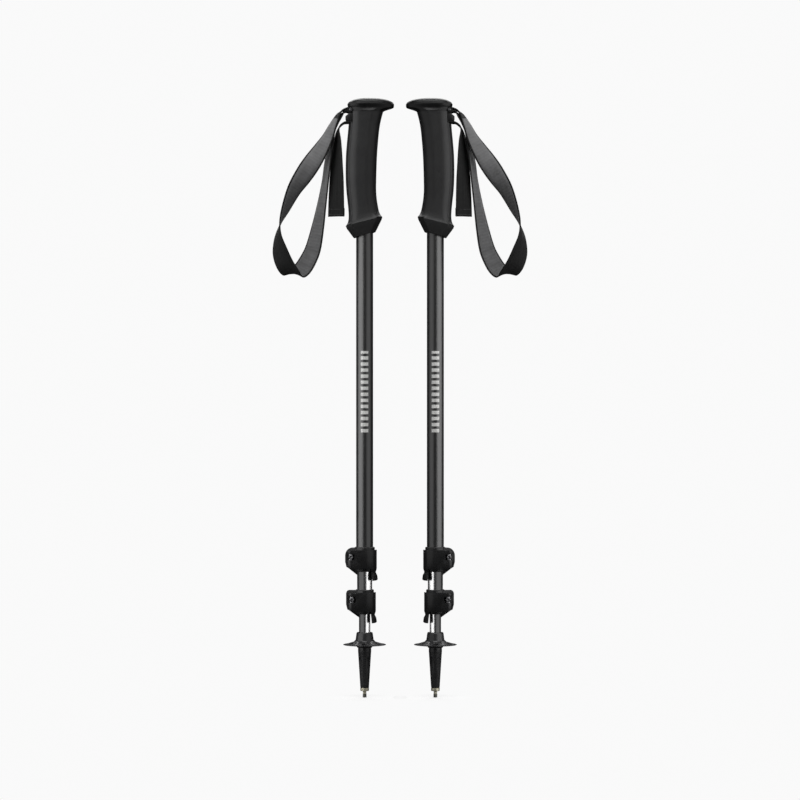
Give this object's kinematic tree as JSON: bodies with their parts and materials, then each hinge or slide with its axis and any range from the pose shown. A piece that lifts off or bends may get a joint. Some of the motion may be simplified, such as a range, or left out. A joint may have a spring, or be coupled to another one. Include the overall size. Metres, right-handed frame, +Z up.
{
  "type": "trekking poles",
  "caption": "Pair of three-section telescoping trekking poles with cam levers, wrist straps, moulded grips, baskets and hard metal tips.",
  "frame": {"origin": "on the ground midway between the two tips, the poles collapsed and standing upright", "axes": "+Z up along the shafts, +X from the left pole to the right one, +Y away from the side the levers close on"},
  "size_m": [0.2704, 0.0452, 0.635],
  "materials": {
    "grip_rubber": "fine-grained matt black moulded grip",
    "cap_plastic": "satin black hard plastic",
    "webbing": "black woven webbing with a ribbed grey lining",
    "dark_anodised": "satin charcoal anodised tube",
    "silver_anodised": "satin silver-grey anodised tube",
    "lock_plastic": "satin black moulded nylon",
    "tip_plastic": "matt dark moulded plastic",
    "steel": "bright plated steel",
    "ferrule_metal": "pale plated brass, turned",
    "carbide": "dark sintered carbide"
  },
  "bodies": {
    "left_pole": {"left_grip": "grip_rubber", "left_grip_cap": "cap_plastic", "left_strap_pin": "steel", "left_strap_root": "webbing", "left_strap_tail": "webbing", "left_upper_shaft": "dark_anodised", "left_upper_shaft_plug": "lock_plastic", "left_upper_lock_collar": "lock_plastic", "left_upper_lock_barrel": "steel", "left_upper_lock_nut": "steel"},
    "left_middle_section": {"left_middle_shaft": "silver_anodised", "left_middle_shaft_bushing": "lock_plastic", "left_lower_lock_collar": "lock_plastic", "left_lower_lock_liner": "lock_plastic", "left_lower_lock_barrel": "steel", "left_lower_lock_nut": "steel"},
    "left_lower_section": {"left_lower_shaft": "silver_anodised", "left_lower_shaft_bushing": "lock_plastic", "left_basket": "tip_plastic", "left_tip_body": "tip_plastic", "left_tip_ferrule": "ferrule_metal", "left_carbide_tip": "carbide"},
    "left_upper_lever": {"left_upper_lock_lever": "lock_plastic"},
    "left_lower_lever": {"left_lower_lock_lever": "lock_plastic"},
    "left_upper_screw": {"left_upper_lock_screw": "steel"},
    "left_lower_screw": {"left_lower_lock_screw": "steel"},
    "left_strap_loop": {"left_strap_loop": "webbing"},
    "left_strap_wedge": {"left_strap_wedge": "cap_plastic"},
    "right_pole": {"right_grip": "grip_rubber", "right_grip_cap": "cap_plastic", "right_strap_pin": "steel", "right_strap_root": "webbing", "right_strap_tail": "webbing", "right_upper_shaft": "dark_anodised", "right_upper_shaft_plug": "lock_plastic", "right_upper_lock_collar": "lock_plastic", "right_upper_lock_barrel": "steel", "right_upper_lock_nut": "steel"},
    "right_middle_section": {"right_middle_shaft": "silver_anodised", "right_middle_shaft_bushing": "lock_plastic", "right_lower_lock_collar": "lock_plastic", "right_lower_lock_liner": "lock_plastic", "right_lower_lock_barrel": "steel", "right_lower_lock_nut": "steel"},
    "right_lower_section": {"right_lower_shaft": "silver_anodised", "right_lower_shaft_bushing": "lock_plastic", "right_basket": "tip_plastic", "right_tip_body": "tip_plastic", "right_tip_ferrule": "ferrule_metal", "right_carbide_tip": "carbide"},
    "right_upper_lever": {"right_upper_lock_lever": "lock_plastic"},
    "right_lower_lever": {"right_lower_lock_lever": "lock_plastic"},
    "right_upper_screw": {"right_upper_lock_screw": "steel"},
    "right_lower_screw": {"right_lower_lock_screw": "steel"},
    "right_strap_loop": {"right_strap_loop": "webbing"},
    "right_strap_wedge": {"right_strap_wedge": "cap_plastic"}
  },
  "joints": [
    {"name": "left_middle_slide", "type": "slide", "parent": "left_pole", "child": "left_middle_section", "axis": [0, 0, -1], "range_m": [0, 0.38]},
    {"name": "left_lower_slide", "type": "slide", "parent": "left_middle_section", "child": "left_lower_section", "axis": [0, 0, -1], "range_m": [0, 0.38]},
    {"name": "left_upper_lever_hinge", "type": "hinge", "parent": "left_pole", "child": "left_upper_lever", "pos_m": [-0.0519, -0.0096, 0.1492], "axis": [0, 0, -1], "range_deg": [0, 150]},
    {"name": "left_upper_screw_turn", "type": "hinge", "parent": "left_pole", "child": "left_upper_screw", "pos_m": [-0.0519, -0.012, 0.1492], "axis": [0, -1, 0], "range_deg": [0, 360]},
    {"name": "left_lower_lever_hinge", "type": "hinge", "parent": "left_middle_section", "child": "left_lower_lever", "pos_m": [-0.0509, -0.0096, 0.1042], "axis": [0, 0, -1], "range_deg": [0, 150]},
    {"name": "left_lower_screw_turn", "type": "hinge", "parent": "left_middle_section", "child": "left_lower_screw", "pos_m": [-0.0509, -0.012, 0.1042], "axis": [0, -1, 0], "range_deg": [0, 360]},
    {"name": "left_strap_swing", "type": "hinge", "parent": "left_pole", "child": "left_strap_loop", "pos_m": [-0.0578, 0, 0.6223], "axis": [0, 1, 0], "range_deg": [0, 90]},
    {"name": "left_wedge_release", "type": "slide", "parent": "left_pole", "child": "left_strap_wedge", "axis": [-1, 0, 0], "range_m": [0, 0.0025]},
    {"name": "pole_spacing", "type": "slide", "parent": "left_pole", "child": "right_pole", "axis": [1, 0, 0], "range_m": [0, 0.25]},
    {"name": "right_middle_slide", "type": "slide", "parent": "right_pole", "child": "right_middle_section", "axis": [0, 0, -1], "range_m": [0, 0.38]},
    {"name": "right_lower_slide", "type": "slide", "parent": "right_middle_section", "child": "right_lower_section", "axis": [0, 0, -1], "range_m": [0, 0.38]},
    {"name": "right_upper_lever_hinge", "type": "hinge", "parent": "right_pole", "child": "right_upper_lever", "pos_m": [0.0519, -0.0096, 0.1492], "axis": [0, 0, 1], "range_deg": [0, 150]},
    {"name": "right_upper_screw_turn", "type": "hinge", "parent": "right_pole", "child": "right_upper_screw", "pos_m": [0.0519, -0.012, 0.1492], "axis": [0, -1, 0], "range_deg": [0, 360]},
    {"name": "right_lower_lever_hinge", "type": "hinge", "parent": "right_middle_section", "child": "right_lower_lever", "pos_m": [0.0509, -0.0096, 0.1042], "axis": [0, 0, 1], "range_deg": [0, 150]},
    {"name": "right_lower_screw_turn", "type": "hinge", "parent": "right_middle_section", "child": "right_lower_screw", "pos_m": [0.0509, -0.012, 0.1042], "axis": [0, -1, 0], "range_deg": [0, 360]},
    {"name": "right_strap_swing", "type": "hinge", "parent": "right_pole", "child": "right_strap_loop", "pos_m": [0.0578, 0, 0.6223], "axis": [0, -1, 0], "range_deg": [0, 90]},
    {"name": "right_wedge_release", "type": "slide", "parent": "right_pole", "child": "right_strap_wedge", "axis": [1, 0, 0], "range_m": [0, 0.0025]}
  ]
}
